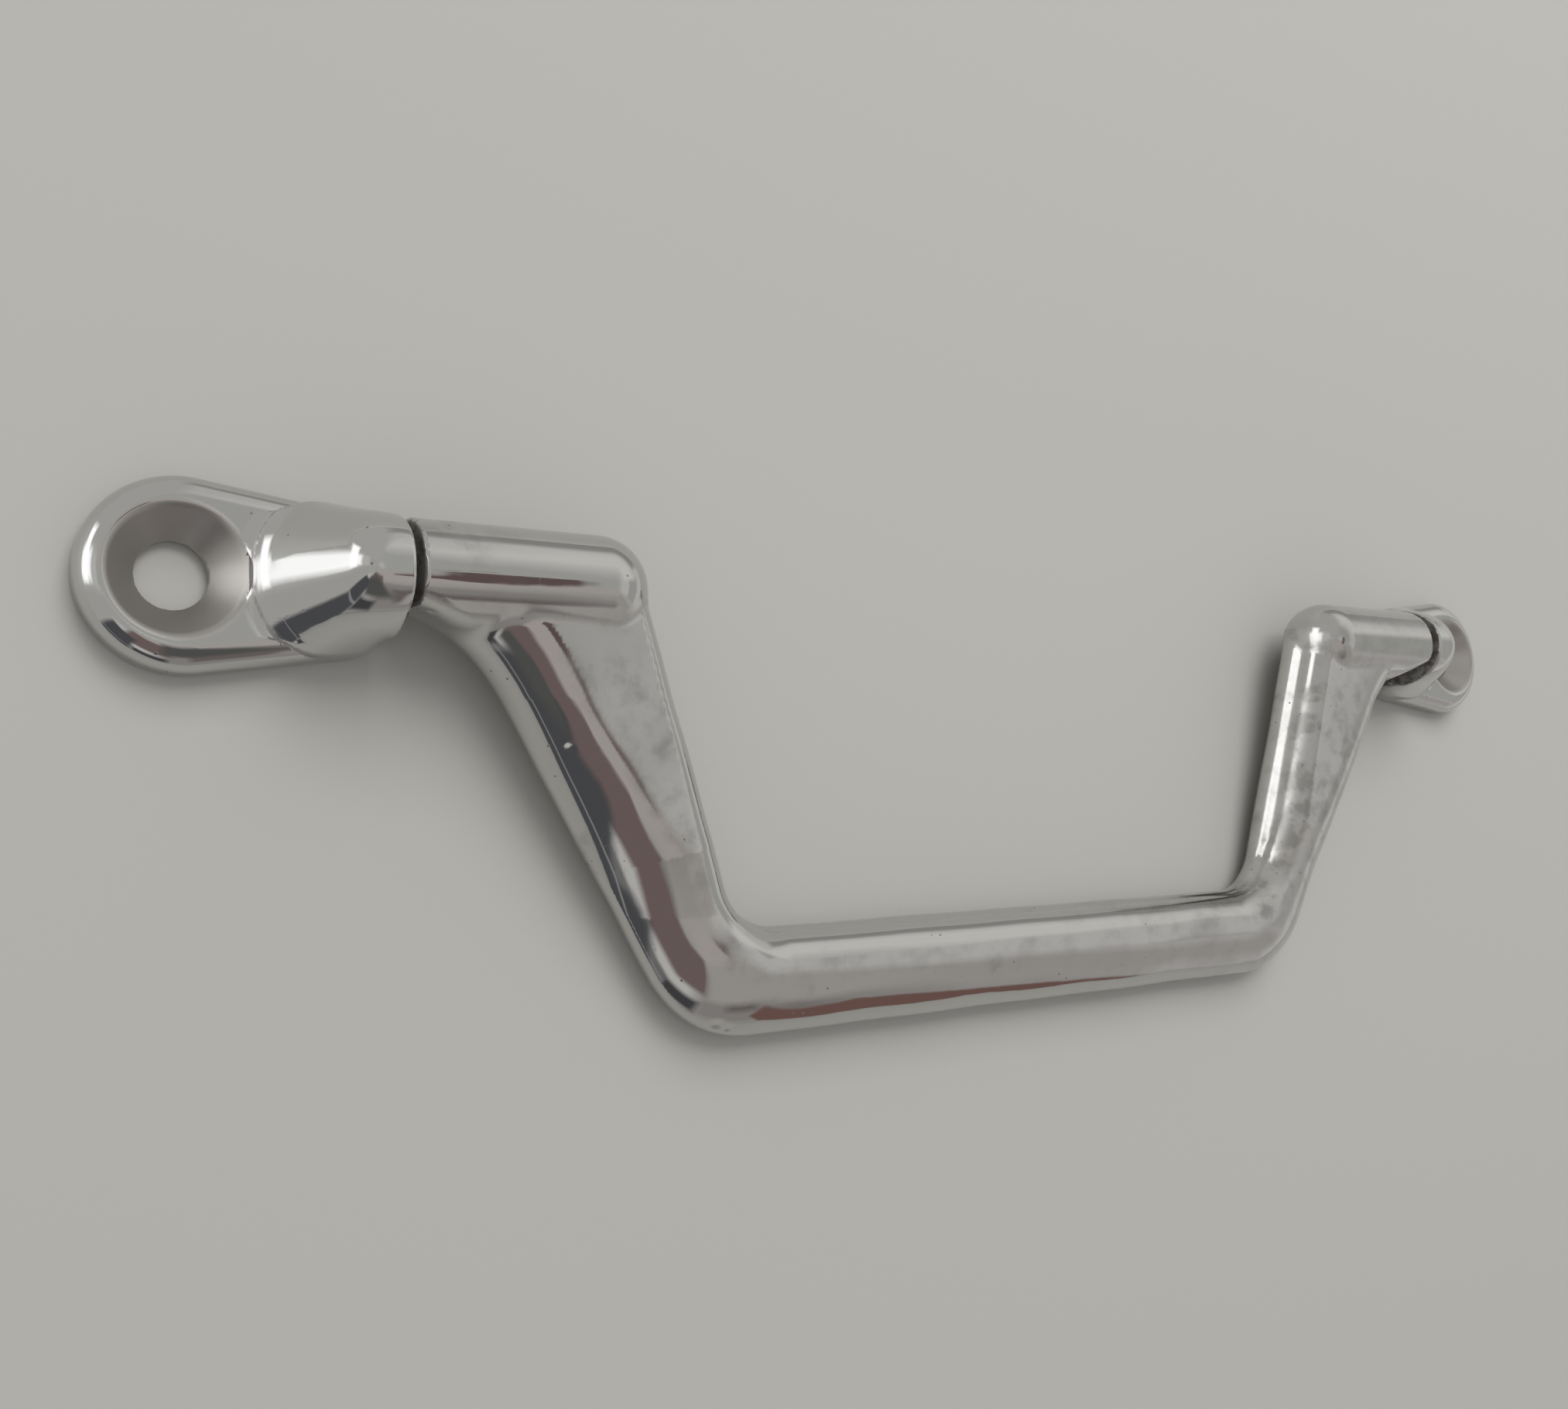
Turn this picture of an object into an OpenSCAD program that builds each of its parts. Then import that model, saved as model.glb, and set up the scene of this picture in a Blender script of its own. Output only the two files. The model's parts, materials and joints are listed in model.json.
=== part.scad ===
// Drop handle for furniture: a cast bail that swings on two pins between two screwed brackets.
// The origin lies midway between the screw holes on the mounting face. X runs along the hinge,
// Z points away from the furniture, and the bail rests towards -Y.

/* [Mounting] */
// Distance between the two screw holes
screw_spacing = 160; // [140:1:224]
// Diameter of each screw hole
screw_hole_d = 5.2; // [4:0.1:6]
// Diameter of the countersink at the top of the pad
sink_d = 9.9; // [8.5:0.1:10.5]
// Included angle of the countersink
sink_angle = 90; // [82:1:100]

/* [Bracket] */
// Radius of the pad's round outer end
pad_r = 7.4; // [6.8:0.1:9]
// Distance from the screw hole to the centre of that round end
pad_shift = 0.7; // [0:0.1:1]
// Thickness of the pad
pad_h = 3.2; // [2.8:0.1:4]
// Rounding of the pad's upper edge
pad_round = 1.6; // [1:0.1:2]
// Width of the bracket at its inner face
face_w = 10.8; // [10.4:0.1:13]
// Distance from the screw hole to the bracket's inner face
bracket_reach = 15; // [14:0.1:20]
// Diameter of the collar that faces the bail
collar_d = 9.9; // [9.4:0.1:11]
// Length of the collar along its crest
collar_l = 3.7; // [2.5:0.1:5]
// Radius of the hood's front arc where it stands on the pad
foot_r = 7; // [6.4:0.1:8]
// Distance from the inner face to the centre of that arc
foot_inset = 2.6; // [2:0.1:3.4]
// Height of the hood's lip above the pad
lip_h = 0.4; // [0.2:0.1:1]
// Radius of the front slope at the height of the collar's crest
crest_r = 3.1; // [2.6:0.1:4.4]
// Amount by which the hood's sides stand back from the pad's sides and the collar
side_step = 0.05; // [0.05:0.05:0.3]

/* [Hinge] */
// Height of the hinge axis above the mounting face
axis_h = 6; // [5.6:0.1:8]
// Diameter of the hinge pins
pin_d = 3; // [2:0.1:4]
// Length of pin held in each bracket
pin_in_bracket = 5.5; // [4:0.1:6]
// Length of pin that enters the bail
pin_in_bail = 9; // [6:0.1:12]
// Radial clearance of the pin in the bail
pin_clearance = 0.05; // [0.02:0.01:0.1]
// Depth of the bail's bore beyond the end of the pin
bore_spare = 1; // [0.4:0.1:2]
// Gap between each bracket and the end of the bail
end_gap = 0.75; // [0.4:0.05:1.2]
// Bevel on the pin's ends
pin_bevel = 0.3; // [0.1:0.1:0.5]

/* [Bail] */
// Diameter of the barrels that carry the bail
barrel_d = 9; // [8:0.1:10]
// Length of each barrel up to the centre of its round end
barrel_l = 15.9; // [13:0.1:20]
// Height of the arms' upper face above the hinge axis
bail_top = 3.5; // [3.2:0.1:4]
// Depth of the bail's underside below the hinge axis
bail_under = 2.9; // [2.6:0.1:3.4]
// Width of the grip
grip_w = 9.4; // [8.4:0.1:12]
// Distance from the hinge axis to the grip's outer edge
drop = 38.3; // [34:0.1:48]
// Slant of the arms' outer edges
outer_slant = 29.7; // [24:0.1:33]
// Slant of the arms' inner edges
inner_slant = 17.4; // [12:0.1:22]
// Distance of the inner edges from the centres of the barrels' round ends
inner_offset = 4.5; // [3.8:0.1:4.6]
// Distance from the barrel's end to the outer edge's line, on the hinge axis
outer_inset = 3; // [2.6:0.1:5]
// Radius of the bail's outer corners
corner_r = 11; // [9:0.1:14]
// Radius of the bail's inner corners
inner_corner_r = 6; // [4:0.1:9]
// Radius of the sweep that runs from each barrel's end into the arm
flare_r = 15; // [10:0.1:20]
// Distance from the hinge axis to the sweep at the barrel's end
flare_drop = 2.5; // [2.3:0.1:3.4]
// Distance inside the sweep's edge at which the barrel's side is cut away
flare_trim = 0.3; // [0.2:0.1:0.6]
// Angle up from upright at which the outer dome leaves the edge, beside the barrel
arm_dome = 10; // [5:1:20]
// Angle up from upright at which the outer dome leaves the edge, on the grip
grip_dome = 40; // [30:1:44]
// Rounding of the inner edges' upper side
inner_round = 3; // [2.4:0.1:3.4]
// Lean of the inner wall from upright
inner_lean = 20; // [10:1:24]
// Rounding of the underside's edges
under_round = 1.8; // [1.2:0.1:2.1]
// Width of the flat along the top of the grip
crest_w = 0.4; // [0.2:0.1:1]

/* [Hidden] */
$fn = 96;
hull_fn = 64;
over = 1;
chrome = "lightsteelblue";
steel = "gray";

hole_x = screw_spacing / 2;
face_x = hole_x - bracket_reach;
bail_x = face_x - end_gap;
ball_x = bail_x - barrel_l;
barrel_r = barrel_d / 2;
collar_r = collar_d / 2;
pin_r = pin_d / 2;

// Angle at which the grip's underside touches the mounting face
touch_y = drop - under_round;
touch_z = bail_under - under_round;
rest_tilt = asin((axis_h - under_round) / norm([touch_y, touch_z])) - atan2(touch_z, touch_y);

// The arm's edges are straight lines in plan, given by their place on the hinge axis
outer_x0 = bail_x - outer_inset;
inner_x0 = ball_x - inner_offset / cos(inner_slant);
grip_in_y = -(drop - grip_w);
function outer_x(y, inset = 0) = outer_x0 + y * tan(outer_slant) - inset / cos(outer_slant);
function inner_x(y, inset = 0) = inner_x0 + y * tan(inner_slant) + inset / cos(inner_slant);

// Centres of the plan's arcs
corner_y = corner_r - drop;
corner_c = [outer_x(corner_y, corner_r), corner_y];
inner_corner_y = grip_in_y + inner_corner_r;
inner_corner_c = [inner_x(inner_corner_y, -inner_corner_r), inner_corner_y];

// The sweep's circle touches the arm's outer edge and meets the barrel's end
flare_k = flare_r / cos(outer_slant) - outer_inset;
flare_a = 1 + pow(tan(outer_slant), 2);
flare_b = flare_k * tan(outer_slant) + flare_drop;
flare_d = pow(flare_k, 2) + pow(flare_drop, 2) - pow(flare_r, 2);
flare_y = -(flare_b + sqrt(pow(flare_b, 2) - flare_a * flare_d)) / flare_a;
flare_c = [outer_x(flare_y, -flare_r), flare_y];
flare_start = atan2(-flare_drop - flare_y, bail_x - flare_c.x);
flare_end = 180 - outer_slant;
flare_low_y = flare_y + flare_r * sin(flare_end);

// The web's hidden edge inside the barrel
hidden_y = 0.3 * barrel_r;

// Height of the centres of the underside's roundings, and the width below which a section is squeezed
low_z = under_round - bail_under;
least_w = 4 * under_round;

// Number of steps round the sweep, down the arm, round the corner and round each edge
sweep_steps = 8;
arm_steps = 4;
corner_steps = 9;
edge_steps = 6;

// Direction of the pad's sides, tangent to its round end, and half the width between them
pad_lean = asin((pad_r - face_w / 2) / (bracket_reach - pad_shift));
function pad_half(x) = (pad_r + (x + pad_shift) * sin(pad_lean)) / cos(pad_lean);

module quarter(r) {
    intersection() {
        circle(r);
        translate([-r, 0]) square(r);
    }
}

// Point of an arc in plan
function on_arc(centre, r, angle) = centre + r * [cos(angle), sin(angle)];

// Points along an arc of a section, without the first one if it is shared
function arc(centre, r, start, end, first = 0) =
    [for (k = [first:edge_steps]) on_arc(centre, r, start + (end - start) * k / edge_steps)];

// Angle at which the dome leaves the outer edge, at a place along the bail
function dome_at(y) =
    arm_dome + (grip_dome - arm_dome) * min(1, max(0, (y - flare_low_y) / (corner_y - flare_low_y)));

// Distance from the inner edge to the centre of the shoulder's rounding, for a top at a height
function shoulder_in(top) =
    under_round
    + (inner_round - under_round + sin(inner_lean) * (top - inner_round - low_z)) / cos(inner_lean);

// Section of width w, from the outer edge at x = 0 to the inner edge, clockwise from the underside
function wide_section(w, dome) =
    let (
        base = low_z + under_round * sin(dome),
        spare = w - crest_w - shoulder_in(base) - under_round * (1 - cos(dome)),
        fitting_r = spare / (cos(dome) + tan(inner_lean) * (1 - sin(dome))),
        dome_r = min(fitting_r, (bail_top - base) / (1 - sin(dome))),
        top = base + dome_r * (1 - sin(dome)),
        dome_c = [under_round, low_z] + (dome_r - under_round) * [cos(dome), -sin(dome)],
        back = w - shoulder_in(top)
    )
    concat(
        arc([under_round, low_z], under_round, -90, -180 - dome),
        arc(dome_c, dome_r, 180 - dome, 90, 1),
        [for (k = [1:3]) [dome_c.x + (back - dome_c.x) * k / 4, top]],
        arc([back, top - inner_round], inner_round, 90, inner_lean),
        arc([w - under_round, low_z], under_round, inner_lean, -90)
    );

// The same for any width
function section(w, dome) =
    let (full_w = max(w, least_w))
    [for (p = wide_section(full_w, dome)) [p.x * w / full_w, p.y]];

// A section set up in space between two points of the plan
function placed(edge) =
    let (way = edge[1] - edge[0], w = norm(way))
    [for (p = section(w, dome_at(edge[0].y)))
        [edge[0].x + way.x * p.x / w, edge[0].y + way.y * p.x / w, p.y]];

// Length of a ray from a point of the plan to the web's hidden edge or to the arm's inner edge
function reach_in(from, dir) =
    let (
        to_hidden = (hidden_y - from.y) / max(dir.y, 0.01),
        to_inner = (from.x - inner_x(from.y)) / (dir.y * tan(inner_slant) - dir.x)
    )
    dir.y * tan(inner_slant) > dir.x ? min(to_hidden, to_inner) : to_hidden;

// Outer and inner ends of a section on the sweep, square to its edge
function sweep_edge(angle) =
    let (from = on_arc(flare_c, flare_r, angle), dir = [cos(angle), sin(angle)])
    [from, from + reach_in(from, dir) * dir];

// Outer and inner ends of a section at a share of the way round the corner
function corner_edge(part) = [
    on_arc(corner_c, corner_r, -outer_slant - (90 - outer_slant) * part),
    on_arc(inner_corner_c, inner_corner_r, -inner_slant - (90 - inner_slant) * part)
];

function sweep_angle(k) = flare_start + (flare_end - flare_start) * k / sweep_steps;
sweep_edges = [for (k = [0:sweep_steps]) sweep_edge(sweep_angle(k))];
corner_edges = [for (k = [0:corner_steps]) corner_edge(k / corner_steps)];
arm_edges = [for (k = [1:arm_steps - 1])
    sweep_edges[sweep_steps] + (corner_edges[0] - sweep_edges[sweep_steps]) * k / arm_steps];
right_edges = concat(sweep_edges, arm_edges, corner_edges);
middle_edge = [[0, -drop], [0, grip_in_y]];
left_edges = [for (k = [len(right_edges) - 1:-1:0]) [for (p = right_edges[k]) [-p.x, p.y]]];

// Solid through a row of closed sections that all have the same number of points
module loft(sections) {
    n = len(sections[0]);
    last = len(sections) - 1;
    skin = [for (k = [0:last - 1], j = [0:n - 1])
        let (a = k * n + j, b = k * n + (j + 1) % n)
        each [[a, b + n, b], [a, a + n, b + n]]];
    polyhedron(
        points = [for (one = sections) each one],
        faces = concat([[for (j = [0:n - 1]) j]], skin, [[for (j = [n - 1:-1:0]) last * n + j]])
    );
}

// Arms and grip as one lofted bow, in the bail's own plane
module bow() {
    loft([for (edge = concat(right_edges, [middle_edge], left_edges)) placed(edge)]);
}

// Plan of the barrel, whose side the sweep cuts away towards the bracket
module barrel_plan() {
    cut = [for (k = [0:sweep_steps]) on_arc(flare_c, flare_r + flare_trim, sweep_angle(k))];
    polygon(concat(
        [[bail_x + over, barrel_d], [bail_x + over, cut[0].y]],
        cut,
        [[ball_x - barrel_d, cut[sweep_steps].y], [ball_x - barrel_d, barrel_d]]
    ));
}

// Barrel with its round inner end, on the hinge axis
module barrel() {
    intersection() {
        translate([ball_x, 0, 0]) {
            sphere(barrel_r);
            rotate([0, 90, 0]) cylinder(r = barrel_r, h = barrel_l);
        }
        linear_extrude(2 * barrel_d, center = true) barrel_plan();
    }
}

module pin_bore() {
    depth = pin_in_bail - end_gap + bore_spare;
    translate([bail_x - depth, 0, 0])
        rotate([0, 90, 0]) cylinder(r = pin_r + pin_clearance, h = depth + over);
}

module bail_form() {
    difference() {
        union() {
            bow();
            for (side = [0, 1]) mirror([side, 0, 0]) barrel();
        }
        for (side = [0, 1]) mirror([side, 0, 0]) pin_bore();
    }
}

module bail() {
    color(chrome) translate([0, 0, axis_h]) rotate([rest_tilt, 0, 0]) bail_form();
}

// Section of the pad's edge: the edge at x = pad_r
module pad_section() {
    union() {
        translate([pad_r - pad_round, pad_h - pad_round]) mirror([1, 0]) quarter(pad_round);
        polygon([
            [0, 0], [pad_r, 0], [pad_r, pad_h - pad_round],
            [pad_r - pad_round, pad_h - pad_round], [pad_r - pad_round, pad_h], [0, pad_h]
        ]);
    }
}

// One of the pad's straight sides, running in from the round end
module pad_side() {
    rotate(90 + pad_lean)
        rotate([90, 0, 0])
            mirror([0, 0, 1])
                linear_extrude(bracket_reach + pad_r) pad_section();
}

// Pad around the screw hole, with the screw hole at the origin and the inner face towards -X
module pad() {
    intersection() {
        union() {
            translate([-pad_shift, 0, 0]) {
                rotate_extrude() pad_section();
                for (side = [0, 1]) mirror([0, side, 0]) pad_side();
            }
        }
        translate([-bracket_reach, -2 * pad_r, 0]) cube([4 * pad_r, 4 * pad_r, pad_h]);
    }
}

// Room under the hood's front slope, an oblique cone from the front arc to the collar's crest
module slope() {
    hull() {
        translate([foot_inset - bracket_reach, 0, 0])
            cylinder(r = foot_r, h = pad_h + lip_h, $fn = hull_fn);
        translate([collar_l - crest_r - bracket_reach, 0, axis_h + collar_r])
            cylinder(r = crest_r, h = over, $fn = hull_fn);
    }
}

// Hood over the pad's narrow end: its sides taper with the pad and run up to the collar
module hood() {
    back_r = pad_half(-bracket_reach) - side_step;
    front_r = pad_half(0) - side_step;
    hull() {
        linear_extrude(pad_h) polygon([
            [-bracket_reach, -back_r], [0, -front_r], [0, front_r], [-bracket_reach, back_r]
        ]);
        translate([-bracket_reach, 0, axis_h]) rotate([0, 90, 0])
            cylinder(r = collar_r - side_step, h = bracket_reach, $fn = hull_fn);
    }
}

module collar() {
    translate([-bracket_reach, 0, axis_h]) rotate([0, 90, 0]) cylinder(r = collar_r, h = bracket_reach);
}

// Screw hole with its countersink, open upwards for the screw's head
module screw_cut() {
    sink_h = (sink_d - screw_hole_d) / 2 / tan(sink_angle / 2);
    translate([0, 0, -over]) cylinder(d = screw_hole_d, h = pad_h + 2 * over);
    translate([0, 0, pad_h - sink_h]) cylinder(d1 = screw_hole_d, d2 = sink_d, h = sink_h);
    translate([0, 0, pad_h]) cylinder(d = sink_d, h = axis_h + collar_r);
}

// Right bracket about its screw hole
module bracket_form() {
    difference() {
        union() {
            pad();
            intersection() {
                union() {
                    hood();
                    collar();
                }
                slope();
            }
        }
        screw_cut();
        translate([-bracket_reach - over, 0, axis_h]) rotate([0, 90, 0])
            cylinder(r = pin_r, h = pin_in_bracket + over);
    }
}

module right_bracket() {
    color(chrome) translate([hole_x, 0, 0]) bracket_form();
}

module left_bracket() {
    color(chrome) mirror([1, 0, 0]) translate([hole_x, 0, 0]) bracket_form();
}

// Pin from the bracket's blind hole into the bail
module pin_form() {
    length = pin_in_bracket + pin_in_bail;
    translate([face_x + pin_in_bracket, 0, axis_h]) rotate([0, -90, 0])
        rotate_extrude() polygon([
            [0, 0], [pin_r - pin_bevel, 0], [pin_r, pin_bevel],
            [pin_r, length - pin_bevel], [pin_r - pin_bevel, length], [0, length]
        ]);
}

module right_pivot_pin() {
    color(steel) pin_form();
}

module left_pivot_pin() {
    color(steel) mirror([1, 0, 0]) pin_form();
}

left_bracket();
right_bracket();
left_pivot_pin();
right_pivot_pin();
bail();
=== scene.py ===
"""Chrome drop handle: smooth castings for the frame's solids, worn plating, floor, light and camera."""
import json
import math

import bpy
import numpy as np
from mathutils import Matrix, Vector


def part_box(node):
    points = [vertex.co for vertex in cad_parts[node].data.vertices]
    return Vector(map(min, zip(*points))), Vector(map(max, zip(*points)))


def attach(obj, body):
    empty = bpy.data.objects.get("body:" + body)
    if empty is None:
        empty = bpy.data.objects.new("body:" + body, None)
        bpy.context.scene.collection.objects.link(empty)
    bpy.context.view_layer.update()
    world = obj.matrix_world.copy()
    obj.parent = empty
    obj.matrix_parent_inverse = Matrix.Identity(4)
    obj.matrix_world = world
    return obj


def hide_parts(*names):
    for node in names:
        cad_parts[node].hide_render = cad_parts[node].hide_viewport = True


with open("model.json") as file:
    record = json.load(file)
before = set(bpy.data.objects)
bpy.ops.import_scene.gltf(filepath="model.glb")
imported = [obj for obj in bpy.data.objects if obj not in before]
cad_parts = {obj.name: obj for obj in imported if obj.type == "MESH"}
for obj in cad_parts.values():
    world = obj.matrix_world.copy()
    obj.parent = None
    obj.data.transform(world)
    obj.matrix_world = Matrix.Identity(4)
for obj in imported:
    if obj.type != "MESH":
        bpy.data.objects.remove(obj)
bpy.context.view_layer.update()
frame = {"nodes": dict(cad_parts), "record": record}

# Metres in a millimetre: the shapes below are worked out in millimetres
MM = 0.001

# Places taken from the frame
record = frame["record"]
axis_h = record["behaviour"]["joints"][0]["pos_m"][2] / MM
hole_x = record["mounts"][0]["dims"]["spacing_x_mm"] / 2
hole_r = record["mounts"][0]["dims"]["hole_r_mm"]
bail_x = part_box("bail")[1].x / MM
face_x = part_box("right_bracket")[0].x / MM
pin_r = (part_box("right_pivot_pin")[1].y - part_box("right_pivot_pin")[0].y) / 2 / MM
bore_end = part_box("right_pivot_pin")[0].x / MM

# Bail
barrel_r = 4.5
barrel_l = 15.9
bail_top = 3.5
bail_under = 2.9
drop = 38.3
grip_w = 9.4
outer_slant = math.radians(29.7)
inner_slant = math.radians(17.4)
inner_offset = 4.5
outer_inset = 3
corner_r = 11
inner_corner_r = 6
flare_r = 15
flare_drop = 2.5
flare_soft = 1.2
arm_dome = math.radians(10)
grip_dome = math.radians(40)
inner_lean = math.radians(20)
inner_round = 3
under_round = 1.8
wall_hollow = 0.1
top_fall = 0.035
crest_w = 0.4
least_dome_r = 3
hidden_y = 1.35
bore_clearance = 0.05
bore_spare = 1
end_soft = 0.25
crease_soft = 0.5
edge_soft = 0.04

# Waves on the bail: length, lean along and across, and shift of each
ripple_h = 0.025
ripple_rise = 0.4
ripples = (
    (23, 0.9, 0.5, 0.4),
    (15, -0.5, 0.9, 1.7),
    (9.5, 0.7, -0.8, 3.1),
)

# Knocks on the bail, in its own plane: place, size and depth of each
bail_nicks = (
    ((-37, -36.8, 0.4), 0.5, 0.14),
    ((-35.8, -37.1, 0.2), 0.4, 0.12),
    ((-51.6, -13.2, 2.2), 0.3, 0.05),
    ((-63.2, -3.2, 2.4), 0.35, 0.25),
    ((36.4, -25.2, -0.3), 0.6, 0.1),
    ((37.2, -23.4, 0.4), 0.5, 0.08),
)

# Brackets
pad_r = 7.4
pad_shift = 0.7
pad_h = 3.2
pad_round = 2
face_w = 10.8
collar_r = 4.95
collar_l = 3.7
foot_r = 7
foot_inset = 2.6
lip_h = 0.4
crest_r = 3.1
sink_r = 4.95
foot_soft = 1.3
crest_soft = 1.2
rim_soft = 0.35
seat_soft = 0.25
face_corner_r = 2

# Values worked out from those
ball_x = bail_x - barrel_l
outer_x0 = bail_x - outer_inset
inner_x0 = ball_x - inner_offset / math.cos(inner_slant)
touch = (drop - under_round, bail_under - under_round)
rest_tilt = math.asin((axis_h - under_round) / math.hypot(*touch)) - math.atan2(touch[1], touch[0])
reach = hole_x - face_x
pad_lean = math.asin((pad_r - face_w / 2) / (reach - pad_shift))


def outer_x(y, inset):
    return outer_x0 + y * math.tan(outer_slant) - inset / math.cos(outer_slant)


def inner_x(y, inset):
    return inner_x0 + y * math.tan(inner_slant) + inset / math.cos(inner_slant)


corner_c = (outer_x(corner_r - drop, corner_r), corner_r - drop)
flare_k = flare_r / math.cos(outer_slant) - outer_inset
flare_a = 1 + math.tan(outer_slant) ** 2
flare_b = flare_k * math.tan(outer_slant) + flare_drop
flare_d = flare_k ** 2 + flare_drop ** 2 - flare_r ** 2
flare_y = -(flare_b + math.sqrt(flare_b ** 2 - flare_a * flare_d)) / flare_a
flare_c = (outer_x(flare_y, -flare_r), flare_y)
flare_low_y = flare_y + flare_r * math.sin(outer_slant)
grip_in_y = grip_w - drop
inner_corner_c = (inner_x(grip_in_y + inner_corner_r, -inner_corner_r), grip_in_y + inner_corner_r)


# Distance functions: negative inside the metal, in millimetres
def soft_min(a, b, k):
    near = np.maximum(k - np.abs(a - b), 0) / k
    return np.minimum(a, b) - near * near * k / 4


def soft_max(a, b, k):
    return -soft_min(-a, -b, k)


def fade(value, start, run):
    """0 up to a start, and from there a rise to 1 over a run."""
    return np.clip((value - start) / run, 0, 1)


def round_edge(side, top, r):
    """Rounded edge of radius r between a wall at side = 0 and a face at top = 0."""
    across = side + r
    up = top + r
    outside = np.hypot(np.maximum(across, 0), np.maximum(up, 0))
    return outside + np.minimum(np.maximum(across, up), 0) - r


def outer_edge(x, y):
    """Distance outside the bail's outer edge, seen square to its plane."""
    sin_o, cos_o = math.sin(outer_slant), math.cos(outer_slant)
    line = (x - outer_x0) * cos_o - y * sin_o
    grip = -drop - y
    dx, dy = x - corner_c[0], y - corner_c[1]
    past = (dx > 0) & (dx * sin_o + dy * cos_o < 0)
    lower = np.where(past, np.hypot(dx, dy), np.maximum(line, grip) + corner_r) - corner_r
    dx, dy = x - flare_c[0], y - flare_c[1]
    past = dx * sin_o + dy * cos_o > 0
    upper = np.where(past, flare_r - np.hypot(dx, dy), line)
    return np.where(y > (corner_c[1] + flare_low_y) / 2, upper, lower)


def inner_edge(x, y):
    """Distance outside the bail's inner edge, which is open towards the fingers."""
    sin_i, cos_i = math.sin(inner_slant), math.cos(inner_slant)
    line = (inner_x0 - x) * cos_i + y * sin_i
    grip = y - grip_in_y
    dx, dy = x - inner_corner_c[0], y - inner_corner_c[1]
    past = (dx > 0) & (dx * sin_i + dy * cos_i < 0)
    return np.where(past, inner_corner_r - np.hypot(dx, dy), np.minimum(line, grip))


def low_edge(across, up):
    """Rounding between a side of the bail and its flat underside."""
    return np.hypot(np.maximum(across, 0), up) - under_round


def bow(x, y, z):
    """Arms and grip of the bail: a dome that falls to the outer edge, and a leaning wall on the inside."""
    outer, inner = outer_edge(x, y), inner_edge(x, y)
    low_z = under_round - bail_under
    down = fade(y, flare_low_y, corner_c[1] - flare_low_y)
    dome_start = arm_dome + (grip_dome - arm_dome) * down
    sin_d, cos_d = np.sin(dome_start), np.cos(dome_start)
    sin_l, cos_l = math.sin(inner_lean), math.cos(inner_lean)
    # Radius of the dome that just fits the width, and the height of its crest
    top_base = low_z + under_round * sin_d
    back_base = under_round + (inner_round - under_round - sin_l * (inner_round + low_z)) / cos_l
    back_rise = sin_l / cos_l
    span = -(outer + inner) - crest_w - back_base - back_rise * top_base - under_round * (1 - cos_d)
    most_dome_r = (bail_top - top_base) / (1 - sin_d)
    dome_r = np.clip(span / (cos_d + back_rise * (1 - sin_d)), least_dome_r, most_dome_r)
    top = top_base + dome_r * (1 - sin_d)

    across, up = outer + under_round, z - low_z
    dome_in = (dome_r - under_round) * cos_d
    dome_down = (dome_r - under_round) * sin_d
    dome = np.where(
        across < -dome_in,
        z - top - top_fall * (across + dome_in),
        np.hypot(across + dome_in, up + dome_down) - dome_r,
    )
    outside = np.where(up * cos_d > across * sin_d, dome, low_edge(across, up))

    across = inner + under_round
    back = back_base + back_rise * top - under_round
    above = z - top + inner_round
    shoulder = np.where(across < -back, z - top, np.hypot(across + back, above) - inner_round)
    wall_l = back * sin_l + (top - inner_round - low_z) * cos_l
    along = np.clip(2 * (up * cos_l - across * sin_l) / wall_l - 1, -1, 1)
    wall = across * cos_l + up * sin_l - under_round + wall_hollow * (1 - along ** 2) ** 2
    inside = np.where(above * cos_l > (across + back) * sin_l, shoulder, wall)
    inside = np.where(up * cos_l > across * sin_l, inside, low_edge(across, up))

    form = np.maximum(soft_max(outside, inside, edge_soft), -bail_under - z)
    return np.maximum(form, y - hidden_y)


def barrel(x, y, z):
    """Barrel with a ball-shaped inner end and a flat outer end, cut away along the sweep."""
    round_part = np.sqrt(np.minimum(x - ball_x, 0) ** 2 + y * y + z * z) - barrel_r
    return soft_max(soft_max(round_part, outer_edge(x, y), flare_soft), x - bail_x, end_soft)


def ripple(x, y, z):
    """Low waves that casting and polishing leave on the arms and the grip."""
    total = 0
    for length, along, across, shift in ripples:
        total = total + np.sin(2 * math.pi * (along * x + across * y + ripple_rise * z) / length + shift)
    return ripple_h * total * fade(-y, barrel_r, barrel_r)


def nicks(x, y, z, places):
    """Depth of the small knocks, each a round hollow at a place on the surface."""
    total = 0
    for place, size, depth in places:
        away = (x - place[0]) ** 2 + (y - place[1]) ** 2 + (z - place[2]) ** 2
        total = total + depth * np.exp(-away / size ** 2)
    return total


def bail(x, y, z):
    """The bail in its own plane, with the hinge axis as X."""
    wear = nicks(x, y, z, bail_nicks) + ripple(x, y, z)
    x = np.abs(x)
    form = soft_min(bow(x, y, z), barrel(x, y, z), crease_soft) + wear
    form = soft_max(form, x - bail_x, end_soft)
    bore = np.maximum(np.hypot(y, z) - pin_r - bore_clearance, bore_end - bore_spare - x)
    return np.maximum(form, -bore)


def corner_in(x):
    """How far the sides draw in near the bracket's inner face, whose corners are rounded."""
    past = np.clip(face_corner_r - reach - x, 0, face_corner_r)
    return face_corner_r - np.sqrt(np.maximum(face_corner_r ** 2 - past ** 2, 0))


def pad_outline(x, y):
    drawn_in = corner_in(x)
    x, y = x + pad_shift, np.abs(y)
    side = y * math.cos(pad_lean) - x * math.sin(pad_lean) - pad_r + drawn_in
    beyond = x * math.cos(pad_lean) + y * math.sin(pad_lean) > 0
    return np.where(beyond, np.hypot(x, y) - pad_r, side)


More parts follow.
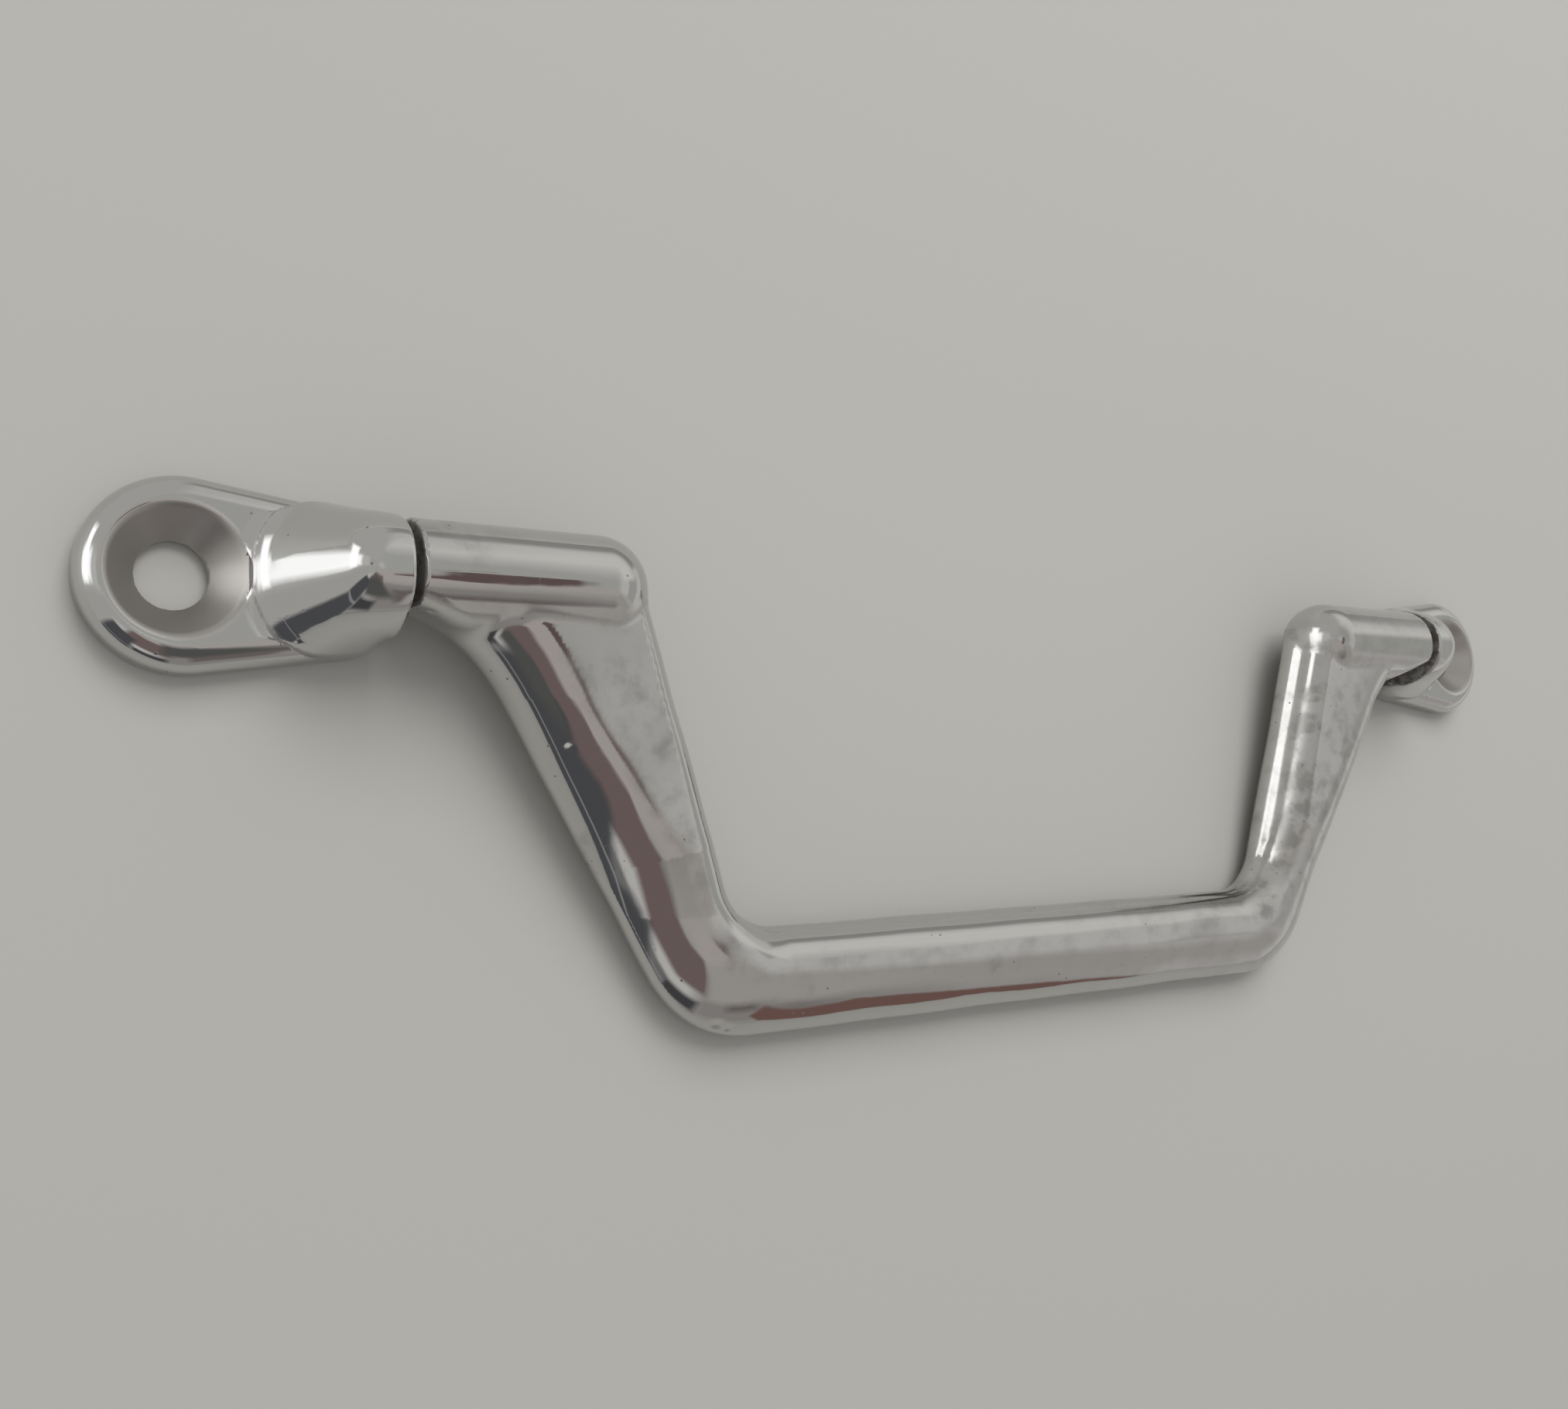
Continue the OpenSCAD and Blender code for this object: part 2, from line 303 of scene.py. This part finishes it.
def hood(x, y, z):
    """Hood over the pin: a collar whose sides run down to the pad's sides."""
    y, up = np.abs(y), z - axis_h
    half = (pad_r + (x + pad_shift) * math.sin(pad_lean)) / math.cos(pad_lean) - corner_in(x)
    foot = pad_h - axis_h
    turn = np.arctan2(foot, half) + np.arccos(np.minimum(collar_r / np.hypot(half, foot), 1))
    flank = y * np.cos(turn) + up * np.sin(turn) - collar_r
    wall = np.maximum(flank, y - half)
    return np.where(np.arctan2(up, y) > turn, np.hypot(y, up) - collar_r, wall)


def slope(x, y, z):
    """Front of the hood: a leaning cone from the foot's arc up to the crest."""
    low, high = pad_h + lip_h, axis_h + collar_r
    part = np.maximum((z - low) / (high - low), 0)
    foot_x = foot_inset - reach
    crest_x = collar_l - crest_r - reach
    r = foot_r + (crest_r - foot_r) * part
    steep = math.cos(math.atan2(foot_x + foot_r - crest_x - crest_r, high - low))
    return (np.hypot(x - foot_x - (crest_x - foot_x) * part, y) - r) * steep


def screw_cut(x, y, z):
    from_axis = np.hypot(x, y)
    cone = np.where(z < pad_h, (from_axis - sink_r + pad_h - z) * math.sqrt(0.5), from_axis - sink_r)
    return np.minimum(from_axis - hole_r, cone)


def bracket(x, y, z):
    """The right bracket, with its screw hole at the origin and the bail towards -X."""
    outline = pad_outline(x, y)
    pad = round_edge(outline, z - pad_h, pad_round)
    table = np.maximum(z - pad_h, outline + pad_round)
    front = soft_max(hood(x, y, z), slope(x, y, z), crest_soft)
    form = np.minimum(pad, soft_min(table, front, foot_soft))
    form = soft_max(form, -reach - x, seat_soft)
    form = soft_max(form, -z, seat_soft)
    return soft_max(form, -screw_cut(x, y, z), rim_soft)


# Meshes: grid steps in millimetres, and how vertices are brought onto the surface
bail_step = 0.3
bracket_step = 0.2
rounds = 6
longest_move = 0.4
least_slope = 0.05
tiny = 1e-9


def gradient(distance, points, gap=0.01):
    columns = []
    for axis in range(3):
        shift = np.zeros(3)
        shift[axis] = gap
        ahead, behind = points + shift, points - shift
        columns.append((distance(*ahead.T) - distance(*behind.T)) / (2 * gap))
    return np.stack(columns, axis=1)


def surface(distance, low, high, step):
    """Closed quad mesh where the distance is zero, with every vertex brought onto that surface."""
    axes = [np.arange(a - 2 * step, b + 2 * step, step) for a, b in zip(low, high)]
    field = distance(*np.meshgrid(*axes, indexing="ij"))
    inside = field < 0
    shape = tuple(n - 1 for n in field.shape)
    corners = [(i, j, k) for i in (0, 1) for j in (0, 1) for k in (0, 1)]

    def at(array, offset):
        return array[tuple(slice(o, o + n) for o, n in zip(offset, shape))]

    count = sum(at(inside, c).astype(int) for c in corners)
    cells = np.argwhere((count > 0) & (count < len(corners)))
    number = np.full(shape, -1)
    number[tuple(cells.T)] = np.arange(len(cells))
    total = np.zeros((len(cells), 3))
    crossings = np.zeros(len(cells))
    for axis in range(3):
        for corner in corners:
            if corner[axis]:
                continue
            start = cells + np.array(corner)
            end = start.copy()
            end[:, axis] += 1
            a, b = field[tuple(start.T)], field[tuple(end.T)]
            cut = (a < 0) != (b < 0)
            share = np.where(cut, a / np.where(cut, a - b, 1), 0)
            place = start.astype(float)
            place[:, axis] += share
            total += place * cut[:, None]
            crossings += cut
    points = np.array([a[0] for a in axes]) + step * total / crossings[:, None]

    faces = []
    for axis in range(3):
        u, v = (axis + 1) % 3, (axis + 2) % 3
        first = np.moveaxis(inside, axis, 0)[:-1]
        second = np.moveaxis(inside, axis, 0)[1:]
        edges = np.argwhere(np.moveaxis(first != second, 0, axis))
        leaving = inside[tuple(edges.T)]
        ring = []
        for du, dv in ((1, 1), (0, 1), (0, 0), (1, 0)):
            cell = edges.copy()
            cell[:, u] -= du
            cell[:, v] -= dv
            ring.append(number[tuple(cell.T)])
        ring = np.stack(ring, axis=1)
        ring[~leaving] = ring[~leaving][:, ::-1]
        faces.append(ring)

    for _ in range(rounds):
        value = distance(*points.T)
        uphill = gradient(distance, points)
        move = uphill * (value / np.maximum((uphill ** 2).sum(axis=1), least_slope))[:, None]
        length = np.linalg.norm(move, axis=1)
        share = np.minimum(1, longest_move * step / np.maximum(length, tiny))
        points = points - move * share[:, None]
    normals = gradient(distance, points)
    normals /= np.maximum(np.linalg.norm(normals, axis=1), tiny)[:, None]
    return points, np.concatenate(faces), normals


def add_mesh(name, points, faces, normals, masks, flip=False):
    """Smooth mesh object from millimetre points, with one value for each vertex in each mask."""
    if flip:
        faces = faces[:, ::-1]
    mesh = bpy.data.meshes.new(name)
    mesh.from_pydata((points * MM).tolist(), [], faces.tolist())
    mesh.update()
    for mask, values in masks.items():
        layer = mesh.attributes.new(mask, "FLOAT", "POINT")
        layer.data.foreach_set("value", values.astype(np.float32))
    mesh.normals_split_custom_set_from_vertices(normals.tolist())
    piece = bpy.data.objects.new(name, mesh)
    bpy.context.collection.objects.link(piece)
    return piece


def crease(a, b, width, span):
    """1 on the line where two surfaces meet, and 0 away from there."""
    return np.exp(-((a - b) / width) ** 2 - ((np.abs(a) + np.abs(b)) / span) ** 2)


# Where the painted shade in creases and gaps and the haze lie, in millimetres and in shares of a normal
crease_shade = 0.5
crease_shade_w = 0.2
crease_shade_span = 0.8
crease_shade_end = 4
foot_shade_w = 0.16
foot_shade_span = 1.6
foot_shade_up = 1
gap_depth = 0.3
gap_facing = 0.75
gap_fade = 0.2
arm_fade = 2
grip_clear = 4
grip_fade = 3
flat_facing = 0.97
flat_fade = 0.025
right_fade = 30
shoulder_z = 1.2
shoulder_fade = 0.3
shoulder_facing = 0.2
shoulder_haze = 1.5
grip_haze = 0.5
raw_w = 0.25

# Bail, turned down from its own plane to its rest
points, faces, normals = surface(
    bail,
    (-bail_x, -drop, -barrel_r),
    (bail_x, barrel_r, barrel_r),
    bail_step,
)
x, y, z = points.T
normal_x, _, normal_z = normals.T
from_middle = np.abs(x)
# Painted shade: darker along the crease where the arms meet the barrel, and on the barrel's end faces in
# the gap
at_crease = crease(bow(from_middle, y, z), barrel(from_middle, y, z), crease_shade_w, crease_shade_span)
at_crease = crease_shade * at_crease * (from_middle < outer_x0 - crease_shade_end)
in_gap = fade(np.abs(normal_x), gap_facing, gap_fade) * (from_middle > bail_x - gap_depth)
on_arm = fade(-y, barrel_r, arm_fade) * fade(y, grip_clear - drop, grip_fade)
flat_top = fade(normal_z, flat_facing, flat_fade)
right_half = fade(x, 0, right_fade)
shoulder = fade(z, shoulder_z, shoulder_fade) * fade(-normal_x, 0, shoulder_facing)
arm_haze = on_arm * np.maximum(flat_top, right_half * (1 + shoulder_haze * shoulder))
bail_masks = {
    "painted_shade": np.maximum(at_crease, in_gap),
    "haze": np.maximum(arm_haze, grip_haze * right_half),
}
tilt = np.array([
    [1, 0, 0],
    [0, math.cos(rest_tilt), -math.sin(rest_tilt)],
    [0, math.sin(rest_tilt), math.cos(rest_tilt)],
])
bail_piece = add_mesh(
    "bail_casting",
    points @ tilt.T + np.array([0, 0, axis_h]),
    faces,
    normals @ tilt.T,
    bail_masks,
)
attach(bail_piece, "handle")
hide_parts("bail")

# Brackets
points, faces, normals = surface(
    bracket,
    (-reach, -pad_r, 0),
    (pad_r, pad_r, axis_h + collar_r),
    bracket_step,
)
x, y, z = points.T
# Painted shade: darker along the foot of the hood's slope and on the inner face in the gap
at_foot = crease(z - pad_h, slope(x, y, z), foot_shade_w, foot_shade_span) * (hood(x, y, z) < foot_shade_up)
in_gap = fade(-normals[:, 0], gap_facing, gap_fade) * (x < gap_depth - reach)
bracket_masks = {
    "painted_shade": np.maximum(at_foot, in_gap),
    "haze": np.zeros(len(points)),
    "raw": fade(-screw_cut(x, y, z), -raw_w, raw_w),
}
bracket_pieces = []
for side, name in ((-1, "left_bracket"), (1, "right_bracket")):
    mirror = np.array([side, 1, 1])
    piece = add_mesh(
        name + "_casting",
        (points + np.array([hole_x, 0, 0])) * mirror,
        faces,
        normals * mirror,
        bracket_masks,
        flip=side < 0,
    )
    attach(piece, "brackets")
    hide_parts(name)
    bracket_pieces.append(piece)


# Materials
def new_material(name):
    material = bpy.data.materials.new(name)
    material.use_nodes = True
    return material, material.node_tree.nodes["Principled BSDF"]


class Graph:
    """Short ways to add nodes to one material."""

    def __init__(self, material):
        self.nodes = material.node_tree.nodes
        self.links = material.node_tree.links
        self.place = self.nodes.new("ShaderNodeTexCoord").outputs["Object"]

    def feed(self, socket, value):
        if isinstance(value, bpy.types.NodeSocket):
            self.links.new(value, socket)
        else:
            socket.default_value = value

    def math(self, operation, first, second=0.0):
        node = self.nodes.new("ShaderNodeMath")
        node.operation = operation
        self.feed(node.inputs[0], first)
        self.feed(node.inputs[1], second)
        return node.outputs[0]

    def ramp(self, value, low, high, out_low=0.0, out_high=1.0):
        node = self.nodes.new("ShaderNodeMapRange")
        node.interpolation_type = "SMOOTHSTEP"
        self.feed(node.inputs["Value"], value)
        node.inputs["From Min"].default_value = low
        node.inputs["From Max"].default_value = high
        node.inputs["To Min"].default_value = out_low
        node.inputs["To Max"].default_value = out_high
        return node.outputs["Result"]

    def stretched(self, scale, turn):
        node = self.nodes.new("ShaderNodeMapping")
        self.links.new(self.place, node.inputs["Vector"])
        node.inputs["Rotation"].default_value = turn
        node.inputs["Scale"].default_value = scale
        return node.outputs["Vector"]

    def noise(self, size_mm, detail, place=None, rough=0.6):
        node = self.nodes.new("ShaderNodeTexNoise")
        self.links.new(place or self.place, node.inputs["Vector"])
        node.inputs["Scale"].default_value = 1 / (size_mm * MM)
        node.inputs["Detail"].default_value = detail
        node.inputs["Roughness"].default_value = rough
        return node.outputs["Fac"]

    def cells(self, size_mm):
        node = self.nodes.new("ShaderNodeTexVoronoi")
        self.links.new(self.place, node.inputs["Vector"])
        node.inputs["Scale"].default_value = 1 / (size_mm * MM)
        chance = self.nodes.new("ShaderNodeSeparateColor")
        self.links.new(node.outputs["Color"], chance.inputs["Color"])
        return node.outputs["Distance"], chance.outputs["Red"]

    def mask(self, name):
        node = self.nodes.new("ShaderNodeAttribute")
        node.attribute_name = name
        return node.outputs["Fac"]

    def mix(self, share, first, second):
        node = self.nodes.new("ShaderNodeMix")
        node.data_type = "RGBA"
        # The colour sockets stand after those for numbers and vectors
        self.feed(node.inputs[0], share)
        self.feed(node.inputs[6], first)
        self.feed(node.inputs[7], second)
        return node.outputs[2]

    def bump(self, height, depth_mm, strength, below=None):
        node = self.nodes.new("ShaderNodeBump")
        node.inputs["Distance"].default_value = depth_mm * MM
        self.feed(node.inputs["Strength"], strength)
        self.links.new(height, node.inputs["Height"])
        if below is not None:
            self.links.new(below, node.inputs["Normal"])
        return node.outputs["Normal"]


# Wear of the plate: sizes in millimetres, and the values between which each kind comes in.
# A range also has the shares at its two ends.
cloud_size = 8
cloud_edge = (0.66, 0.8)
cloud_spread = (0.2, 0.1)
haze_size = 3
haze_range = (0.2, 0.7, 0.6, 1)
mottle_size = 2.4
mottle_edge = (0.4, 0.75)
# Patches into which the painted shade in creases and the gap is broken
shade_patch_size = 0.9
shade_patch_range = (0.3, 0.6, 0.35, 1)
bare_edge = (0.3, 0.8)
grain_size = 0.3
wave_size = 6
pit_spacing = 1.1
pit_share = 0.18
pit_edge = (0.13, 0.05)

# Fine scratches: size, stretch, turn and edge of each set
scratches = (
    (0.5, (0.04, 1.3, 0.7), (0.3, 0.2, 0.5), (0.68, 0.76)),
    (0.6, (1.1, 0.05, 0.8), (0.1, 0.4, 0.9), (0.69, 0.77)),
)

# Relief of the plate: depth in millimetres and strength of each kind of wear
wave_relief = (0.06, 0.5)
grain_depth = 0.008
grain_strength = 0.3
scratch_relief = (0.006, 0.2)
pit_relief = (0.03, 0.3)

# Colours of the plate and of the painted shade, and the roughness that each kind of wear and the painted
# shade adds
pit_cover = 0.7
clouded_colour = (0.43, 0.425, 0.41, 1)
pit_colour = (0.12, 0.11, 0.1, 1)
# Dark colour painted where creases and the gap lie in shade
shade_colour = (0.1, 0.086, 0.077, 1)
bare_colour = (0.52, 0.505, 0.485, 1)
plate_rough = 0.045
cloud_rough = 0.13
scratch_rough = 0.06
pit_rough = 0.3
shade_rough = 0.45
bare_rough = 0.4


def worn_chrome(name, tint, cloud_share, raw=False):
    """Bright plate with clouded patches, pits and fine scratches, and painted shade in patches in the
    creases and the gap.
    """
    material, shader = new_material(name)
    graph = Graph(material)
    comes_in = [value - spread * cloud_share for value, spread in zip(cloud_edge, cloud_spread)]
    cloud = graph.ramp(graph.noise(cloud_size, detail=5), *comes_in)
    haze = graph.ramp(graph.noise(haze_size, detail=3), *haze_range)
    haze = graph.math("MULTIPLY", graph.mask("haze"), haze)
    cloud = graph.math("MAXIMUM", cloud, haze)
    distance, chance = graph.cells(pit_spacing)
    pit = graph.math("GREATER_THAN", chance, 1 - pit_share)
    pit = graph.math("MULTIPLY", graph.ramp(distance, *pit_edge), pit)
    scratch = 0.0
    for size, stretch, turn, edge in scratches:
        line = graph.ramp(graph.noise(size, detail=2, place=graph.stretched(stretch, turn)), *edge)
        scratch = graph.math("MAXIMUM", scratch, line)
    # Painted shade, broken into patches, where the mask marks creases and the gap
    shaded = graph.ramp(graph.noise(shade_patch_size, detail=4), *shade_patch_range)
    shaded = graph.math("MULTIPLY", graph.mask("painted_shade"), shaded)

    mottle = graph.ramp(graph.noise(mottle_size, detail=3), *mottle_edge)
    clouded = graph.math("MULTIPLY", cloud, mottle)
    colour = graph.mix(clouded, (*tint, 1), clouded_colour)
    colour = graph.mix(graph.math("MULTIPLY", pit, pit_cover), colour, pit_colour)
    colour = graph.mix(shaded, colour, shade_colour)
    rough = plate_rough
    for wear, added in (
        (cloud, cloud_rough),
        (scratch, scratch_rough),
        (pit, pit_rough),
        (shaded, shade_rough),
    ):
        rough = graph.math("ADD", rough, graph.math("MULTIPLY", wear, added))
    normal = graph.bump(graph.noise(wave_size, detail=2), *wave_relief)
    in_clouds = graph.math("MULTIPLY", cloud, grain_strength)
    normal = graph.bump(graph.noise(grain_size, detail=3), grain_depth, in_clouds, normal)
    normal = graph.bump(graph.math("SUBTRACT", 1.0, scratch), *scratch_relief, normal)
    normal = graph.bump(graph.math("SUBTRACT", 1.0, pit), *pit_relief, normal)
    if raw:
        bare = graph.ramp(graph.mask("raw"), *bare_edge)
        colour = graph.mix(bare, colour, bare_colour)
        rough = graph.math("MAXIMUM", rough, graph.math("MULTIPLY", bare, bare_rough))
    graph.feed(shader.inputs["Base Color"], colour)
    graph.feed(shader.inputs["Roughness"], rough)
    graph.feed(shader.inputs["Normal"], normal)
    graph.feed(shader.inputs["Metallic"], graph.math("SUBTRACT", 1.0, shaded))
    return material


# Dull pins: sizes in millimetres
draw_line = 0.15
draw_stretch = (0.04, 1, 1)
draw_relief = (0.01, 0.3)
draw_rough = (0.3, 0.7, 0.25, 0.45)
stain_size = 2
stain_edge = (0.45, 0.7)
stain_colour = (0.25, 0.22, 0.2, 1)


def drawn_steel(name, tint):
    """Steel with fine lines along its length and faint stains."""
    material, shader = new_material(name)
    graph = Graph(material)
    lines = graph.noise(draw_line, detail=2, place=graph.stretched(draw_stretch, (0, 0, 0)))
    stain = graph.ramp(graph.noise(stain_size, detail=4), *stain_edge)
    graph.feed(shader.inputs["Base Color"], graph.mix(stain, (*tint, 1), stain_colour))
    graph.feed(shader.inputs["Roughness"], graph.ramp(lines, *draw_rough))
    graph.feed(shader.inputs["Normal"], graph.bump(lines, *draw_relief))
    shader.inputs["Metallic"].default_value = 1
    return material


bail_chrome = worn_chrome("worn_bail_chrome", (0.6, 0.598, 0.585), cloud_share=0.5)
plate_chrome = worn_chrome("worn_bracket_chrome", (0.62, 0.62, 0.61), cloud_share=0.2, raw=True)
pin_steel = drawn_steel("dull_pin_steel", (0.42, 0.41, 0.4))
bail_piece.data.materials.append(bail_chrome)
for piece in bracket_pieces:
    piece.data.materials.append(plate_chrome)
for name in ("left_pivot_pin", "right_pivot_pin"):
    for slot in frame["nodes"][name].material_slots:
        slot.material = pin_steel

# Floor, a hair below the handle
floor_half = 3
floor_z = -0.05 * MM
floor_colour = (0.41, 0.407, 0.388, 1)
floor_rough = 0.6
floor_corners = [(-1, -1), (1, -1), (1, 1), (-1, 1)]
floor_mesh = bpy.data.meshes.new("floor")
floor_mesh.from_pydata(
    [(floor_half * i, floor_half * j, floor_z) for i, j in floor_corners],
    [],
    [(0, 1, 2, 3)],
)
floor = bpy.data.objects.new("floor", floor_mesh)
bpy.context.collection.objects.link(floor)
floor_paint, shader = new_material("floor_paint")
shader.inputs["Base Color"].default_value = floor_colour
shader.inputs["Roughness"].default_value = floor_rough
floor_mesh.materials.append(floor_paint)

# World, the same pale studio on all sides
studio_colour = (1, 0.985, 0.96, 1)
studio_strength = 0.62
world = bpy.data.worlds.new("studio")
bpy.context.scene.world = world
world.use_nodes = True
backdrop = world.node_tree.nodes["Background"]
backdrop.inputs["Color"].default_value = studio_colour
backdrop.inputs["Strength"].default_value = studio_strength


# Studio cards that only the bright metal shows, each a soft-edged part of a ball
card_steps = 24


def card_mesh(name, turn, rise, soft, far, fall, pointed):
    """Grid of a card, with how well it covers at each vertex."""
    side = card_steps + 1
    turns = np.radians(np.linspace(turn[0] - soft, turn[1] + soft, side))
    rises = np.radians(np.linspace(rise[0] - soft, rise[1] + soft, side))
    corners = []
    for r in rises:
        for t in turns:
            height = r - fall * (t - turns[card_steps // 2])
            level = far * math.cos(height)
            corners.append((level * math.cos(t), level * math.sin(t), far * math.sin(height)))
    faces = [
        (i, i + 1, i + side + 1, i + side)
        for i in range(card_steps * side)
        if (i + 1) % side
    ]
    mesh = bpy.data.meshes.new(name)
    mesh.from_pydata(corners, [], faces)
    across = np.abs(np.tile(np.linspace(-1, 1, side), side))
    upward = np.abs(np.repeat(np.linspace(-1, 1, side), side))
    wide = (turn[1] - turn[0]) / 2 + soft
    high = (rise[1] - rise[0]) / 2 + soft
    if pointed:
        inward = (1 - across - upward) * min(wide, high)
    else:
        inward = np.minimum((1 - across) * wide, (1 - upward) * high)
    layer = mesh.attributes.new("cover", "FLOAT", "POINT")
    layer.data.foreach_set("value", fade(inward, 0, 2 * soft).astype(np.float32))
    return mesh


def card_paint(name, colour):
    """Plain glow that fades out where the card doesn't cover."""
    material = bpy.data.materials.new(name)
    material.use_nodes = True
    nodes, links = material.node_tree.nodes, material.node_tree.links
    nodes.clear()
    cover = nodes.new("ShaderNodeAttribute")
    cover.attribute_name = "cover"
    glow = nodes.new("ShaderNodeEmission")
    glow.inputs["Color"].default_value = (*colour, 1)
    blend = nodes.new("ShaderNodeMixShader")
    links.new(cover.outputs["Fac"], blend.inputs[0])
    links.new(nodes.new("ShaderNodeBsdfTransparent").outputs[0], blend.inputs[1])
    links.new(glow.outputs[0], blend.inputs[2])
    links.new(blend.outputs[0], nodes.new("ShaderNodeOutputMaterial").inputs[0])
    return material


def card(name, turn, rise, colour, soft, far, centre=(0, 0, 0), fall=0, pointed=False):
    """Card between two compass angles and two heights in degrees, fading over soft degrees at its edges.

    It falls by so many degrees of height for each degree of turn, and a pointed one tapers to both ends.
    """
    mesh = card_mesh(name, turn, rise, soft, far, fall, pointed)
    mesh.materials.append(card_paint(name, colour))
    panel = bpy.data.objects.new(name, mesh)
    bpy.context.collection.objects.link(panel)
    panel.location = centre
    panel.visible_camera = False
    panel.visible_diffuse = False
    panel.visible_shadow = False


# Middles of the nearer cards, then each card's turn, rise, colour, soft edge and distance in metres
left_arm = (-0.046, -0.013, 0.006)
left_pad = (-0.078, -0.005, 0.003)
left_corner = (-0.039, -0.028, 0.006)
card("card_grey_back", (75, 150), (-4, 80), (0.5, 0.49, 0.47), 6, 2.6)
card("card_grey_left", (182, 214), (-4, 80), (0.48, 0.47, 0.45), 6, 2.6)
card("card_overhead", (-180, 180), (58, 84), (0.47, 0.467, 0.45), 5, 2.7)
card("card_pale", (14, 66), (22, 48), (0.75, 0.74, 0.71), 5, 2.5)
card("card_horizon", (30, 80), (-4, 15), (0.33, 0.325, 0.315), 4, 2.45)
card("card_front", (256, 318), (-4, 60), (0.31, 0.29, 0.28), 8, 2.5)
card("card_right", (338, 376), (14, 36.5), (0.44, 0.44, 0.42), 2, 2.55)
card("card_front_side", (312, 336), (10, 58), (0.42, 0.4, 0.385), 7, 2.45)
card("card_front_dark", (282, 303), (16, 43), (0.18, 0.155, 0.15), 4, 2.4)
card("card_corner", (266, 338), (20, 58), (0.44, 0.42, 0.405), 4, 0.05, left_corner)
card("card_pink", (225, 345), (60, 82), (0.5, 0.46, 0.44), 5, 0.46, left_arm)
card("card_brown", (222, 266), (28, 69), (0.2, 0.15, 0.146), 3, 0.44, left_arm)
card("card_band", (326, 372), (65, 72), (0.15, 0.105, 0.105), 1, 0.43, left_arm)
card("card_navy", (208, 234), (-5, 46), (0.09, 0.092, 0.1), 2, 0.42, left_arm)
card("card_dark", (234, 262), (1, 16), (0.07, 0.07, 0.075), 3, 0.41, left_arm)
card("card_line", (208, 236), (6.4, 8), (0.34, 0.34, 0.35), 0.6, 0.4, left_arm)
card("card_pad", (256, 312), (34, 74), (0.11, 0.11, 0.107), 6, 0.03, left_pad)
card("card_red", (296, 318), (-12, 19), (0.2, 0.115, 0.1), 1, 2.1, fall=0.5, pointed=True)
card("card_white", (155, 178), (-4, 36), (1.5, 1.5, 1.5), 4, 2.1)
card("card_white_low", (140, 180), (7, 24), (1.7, 1.7, 1.7), 3, 2.05)

# Soft lamp, which lights the floor and leaves no spot on the metal
lamp_place = Vector((0.1, 0.65, 0.75))
lamp_aim = Vector((0.15, 0.1, 0))
lamp_side = 0.7
lamp_power = 7.4
lamp = bpy.data.lights.new("overhead", "AREA")
lamp.shape = "RECTANGLE"
lamp.size = lamp_side
lamp.size_y = lamp_side
lamp.energy = lamp_power
overhead = bpy.data.objects.new("overhead", lamp)
bpy.context.collection.objects.link(overhead)
overhead.location = lamp_place
overhead.rotation_euler = (lamp_aim - lamp_place).to_track_quat("-Z", "Y").to_euler()
overhead.visible_glossy = False

# Camera
camera_place = Vector((-0.1007, -0.0244, 0.1109))
camera_aim = Vector((-0.0286, -0.0089, 0.0039))
level_turn = 0.229
roll = 0.072
focal_px = 1849.52
frame_px = 2026
sensor_w = 36
nearest = 0.005
ahead = (camera_aim - camera_place).normalized()
level = ahead.cross(Vector((0, math.cos(level_turn), math.sin(level_turn)))).normalized()
upright = level.cross(ahead)
right = level * math.cos(roll) + upright * math.sin(roll)
up = upright * math.cos(roll) - level * math.sin(roll)
lens = bpy.data.cameras.new("camera")
lens.sensor_width = sensor_w
lens.lens = sensor_w * focal_px / frame_px
lens.clip_start = nearest
camera = bpy.data.objects.new("camera", lens)
bpy.context.collection.objects.link(camera)
camera_turn = Matrix((right, up, -ahead)).transposed().to_4x4()
camera.matrix_world = Matrix.Translation(camera_place) @ camera_turn
bpy.context.scene.camera = camera

bpy.context.scene.view_settings.view_transform = "Standard"
